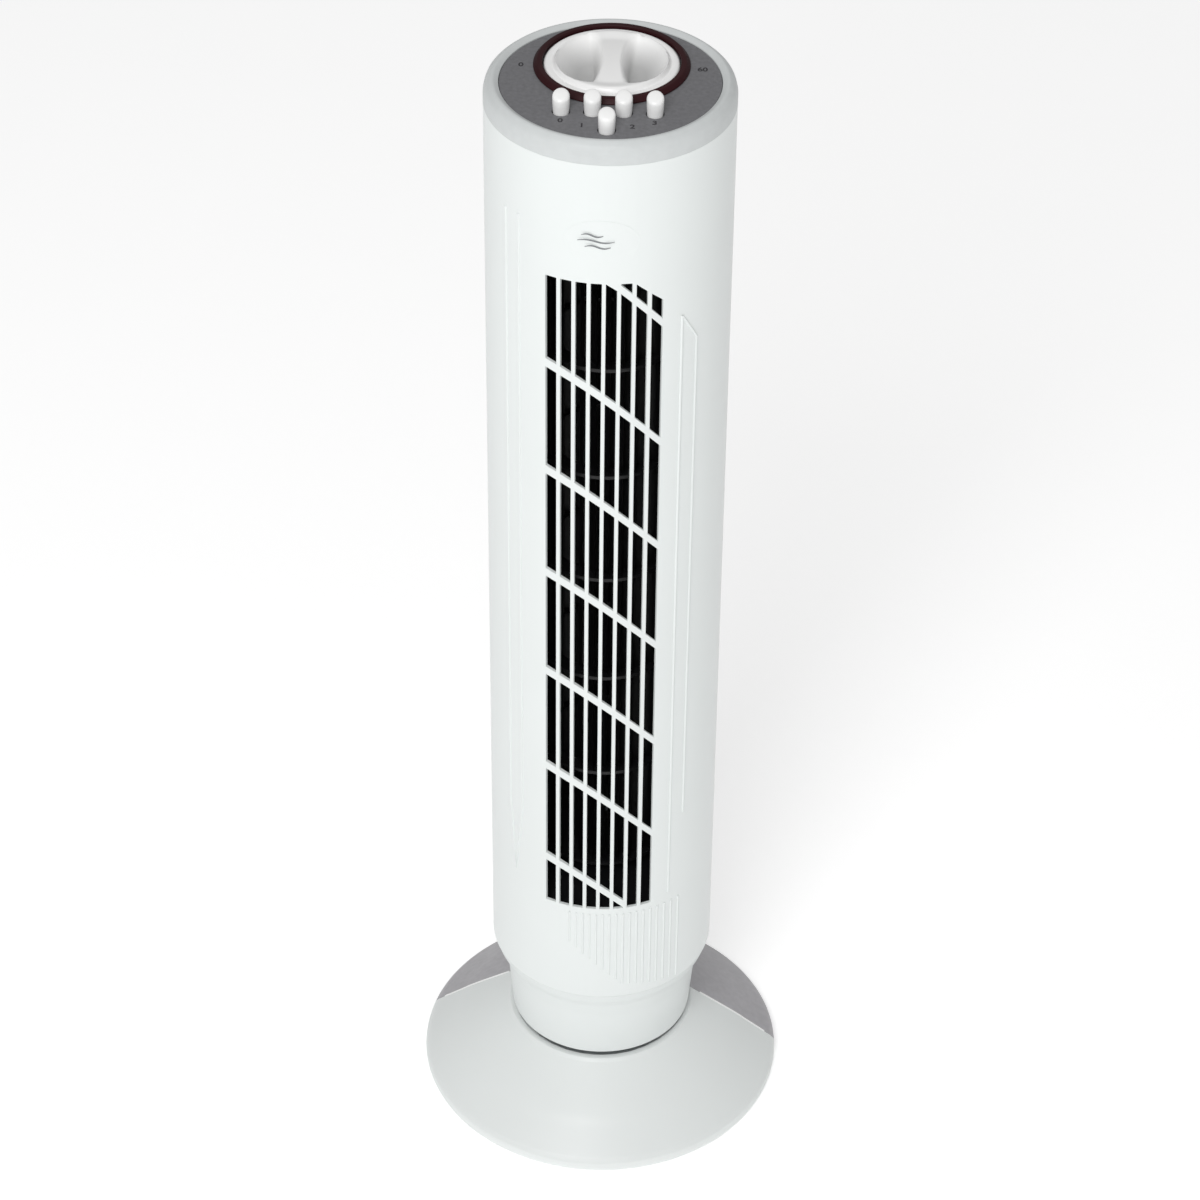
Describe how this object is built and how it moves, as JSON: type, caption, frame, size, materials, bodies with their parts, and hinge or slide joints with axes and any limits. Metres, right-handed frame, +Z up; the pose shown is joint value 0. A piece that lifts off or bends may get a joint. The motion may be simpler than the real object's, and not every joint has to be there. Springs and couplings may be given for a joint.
{
  "type": "tower fan",
  "caption": "Round oscillating tower fan with a slotted outlet grille, a tangential blower, a timer dial and push buttons on top, on a two-piece round base.",
  "frame": {"origin": "on the floor, under the column's axis, at the centre of the base", "axes": "+Z up along the column, -Y out through the outlet grille, +X to the right for someone facing the grille"},
  "size_m": [0.23, 0.2296, 0.7436],
  "materials": {
    "body_white": "cool white moulded plastic, soft gloss",
    "base_white": "light grey-white moulded plastic, soft gloss",
    "control_white": "white plastic, glossy",
    "panel_grey": "dark grey plastic, fine matt grain",
    "dark_red": "dark red plastic, satin",
    "black_plastic": "black plastic, satin",
    "rubber": "soft black rubber",
    "steel": "zinc-plated steel",
    "cast_metal": "die-cast light alloy, as cast",
    "laminations": "stacked electrical steel",
    "copper": "varnished winding wire",
    "nylon": "natural nylon"
  },
  "bodies": {
    "base": {"base_front": "base_white", "base_rear": "base_white", "foot_pad_1": "rubber", "foot_pad_2": "rubber", "foot_pad_3": "rubber", "foot_pad_4": "rubber", "base_hub": "cast_metal", "base_screw_1": "steel", "base_screw_2": "steel", "base_screw_3": "steel", "base_screw_4": "steel", "swivel_washer": "nylon", "pivot_washer": "steel", "pivot_nut": "steel"},
    "column": {"neck_housing": "body_white", "front_shell": "body_white", "rear_shell": "body_white", "rear_top": "body_white", "shell_screw_1": "steel", "shell_screw_2": "steel", "shell_screw_3": "steel", "shell_screw_4": "steel", "shell_screw_5": "steel", "shell_screw_6": "steel", "handle_cup": "body_white", "top_rim": "body_white", "badge": "body_white", "duct_floor": "black_plastic", "upper_bearing_plate": "black_plastic", "upper_bush": "rubber", "scroll_plate": "black_plastic", "tongue_plate": "black_plastic", "motor_stack": "laminations", "motor_coil_upper": "copper", "motor_coil_lower": "copper", "motor_bracket_upper": "cast_metal", "motor_bracket_lower": "cast_metal", "motor_mount_1": "rubber", "motor_mount_2": "rubber", "motor_mount_3": "rubber", "capacitor": "black_plastic", "swing_motor": "steel", "control_deck": "black_plastic", "timer_body": "black_plastic", "speed_switch": "black_plastic", "swing_switch": "black_plastic", "control_panel": "panel_grey", "dial_ring": "dark_red"},
    "blower": {"blower_wheel": "black_plastic", "wheel_top_pin": "steel", "motor_shaft": "steel", "motor_rotor": "laminations"},
    "crank": {"swing_crank": "nylon"},
    "dial": {"timer_knob": "control_white", "timer_shaft": "steel"},
    "button_0": {"speed_button_0": "control_white"},
    "button_1": {"speed_button_1": "control_white"},
    "button_2": {"speed_button_2": "control_white"},
    "button_3": {"speed_button_3": "control_white"},
    "button_swing": {"swing_button": "control_white"}
  },
  "joints": [
    {"name": "oscillate", "type": "hinge", "parent": "base", "child": "column", "pos_m": [0, 0, 0.066], "axis": [0, 0, 1], "range_deg": [-35, 35]},
    {"name": "blower_spin", "type": "hinge", "parent": "column", "child": "blower", "pos_m": [0, 0.006, 0.4], "axis": [0, 0, 1], "continuous": true},
    {"name": "crank_turn", "type": "hinge", "parent": "column", "child": "crank", "pos_m": [0, 0.024, 0.06], "axis": [0, 0, 1], "range_deg": [-90, 90]},
    {"name": "timer_turn", "type": "hinge", "parent": "column", "child": "dial", "pos_m": [0, 0.0173, 0.73], "axis": [0, 0, 1], "range_deg": [-270, 30]},
    {"name": "press_0", "type": "slide", "parent": "column", "child": "button_0", "axis": [0, 0, -1], "range_m": [0, 0.004], "stiffness_N_per_m": 250, "springref_m": -0.002},
    {"name": "press_1", "type": "slide", "parent": "column", "child": "button_1", "axis": [0, 0, -1], "range_m": [0, 0.004], "stiffness_N_per_m": 250, "springref_m": -0.002},
    {"name": "press_2", "type": "slide", "parent": "column", "child": "button_2", "axis": [0, 0, -1], "range_m": [0, 0.004], "stiffness_N_per_m": 250, "springref_m": -0.002},
    {"name": "press_3", "type": "slide", "parent": "column", "child": "button_3", "axis": [0, 0, -1], "range_m": [0, 0.004], "stiffness_N_per_m": 250, "springref_m": -0.002},
    {"name": "press_swing", "type": "slide", "parent": "column", "child": "button_swing", "axis": [0, 0, -1], "range_m": [0, 0.004], "stiffness_N_per_m": 250, "springref_m": -0.002}
  ],
  "couplings": [
    {"joint": "crank_turn", "follows": "oscillate", "ratio": -2.5714}
  ]
}
